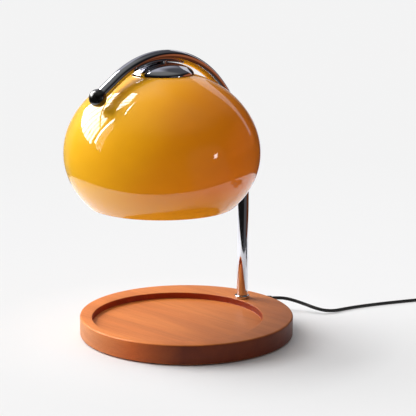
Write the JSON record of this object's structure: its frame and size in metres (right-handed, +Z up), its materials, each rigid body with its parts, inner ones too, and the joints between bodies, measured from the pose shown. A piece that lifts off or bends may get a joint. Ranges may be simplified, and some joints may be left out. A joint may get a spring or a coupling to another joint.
{
  "type": "candle warmer lamp",
  "caption": "Table lamp that warms a jar candle: a round wooden base with a recess, a chrome arch arm, a glossy dome shade over a halogen bulb, and a lead with a dimmer.",
  "frame": {"origin": "centre of the base's underside, on the surface that the lamp stands on", "axes": "+Z up; +Y towards the rear, where the arm stands and the lead leaves; +X to the right seen from the front"},
  "size_m": [0.3397, 0.3785, 0.2618],
  "materials": {
    "wood": "satin",
    "ballast_steel": "matte black",
    "steel": "zinc plated",
    "foam_pad": "matte",
    "chrome": "polished",
    "black_gloss": "high gloss",
    "shade_lacquer": "high gloss lacquer",
    "brass": "plain",
    "porcelain": "unglazed",
    "reflector_glass": "dichroic coating inside",
    "clear_glass": "clear",
    "cord_black": "satin black",
    "plastic_black": "fine matte",
    "circuit_green": "satin",
    "tie_black": "matte"
  },
  "bodies": {
    "lamp": {"base_board": "wood", "base_plate": "ballast_steel", "plate_screws": "steel", "base_pad": "foam_pad", "pole_collar": "chrome", "arm_tube": "chrome", "pole_washer": "steel", "pole_nut": "steel", "ball_knob": "black_gloss", "ball_stud": "steel", "shade": "shade_lacquer", "dome_cap": "chrome", "nipple": "steel", "shade_washer": "steel", "shade_nut": "steel", "holder_bracket": "steel", "bracket_nuts": "steel", "lampholder": "porcelain", "holder_screws": "steel", "holder_contacts": "brass", "cord_relief": "cord_black", "inner_lead": "cord_black", "dimmer_lower_case": "plastic_black", "dimmer_upper_case": "plastic_black", "dimmer_board": "circuit_green", "dimmer_control": "plastic_black", "dimmer_screws": "steel", "dimmer_reliefs": "cord_black", "cord_coil": "cord_black", "coil_tie": "tie_black", "plug_body": "plastic_black", "plug_blades": "brass", "lamp_cord": "cord_black", "dimmer_cord": "cord_black", "plug_cord": "cord_black"},
    "bulb": {"bulb_reflector": "reflector_glass", "bulb_base": "porcelain", "bulb_lens": "clear_glass", "bulb_capsule": "clear_glass", "bulb_pins": "steel"},
    "dial": {"dimmer_dial": "plastic_black", "dimmer_shaft": "steel"}
  },
  "joints": [
    {"name": "bulb_twist", "type": "hinge", "parent": "lamp", "child": "bulb", "pos_m": [0, -0.0303, 0.1985], "axis": [0, 0, 1], "range_deg": [-30, 0]},
    {"name": "dial_turn", "type": "hinge", "parent": "lamp", "child": "dial", "pos_m": [0.17, 0.241, 0.016], "axis": [0, 0, 1], "range_deg": [-270, 0]}
  ]
}
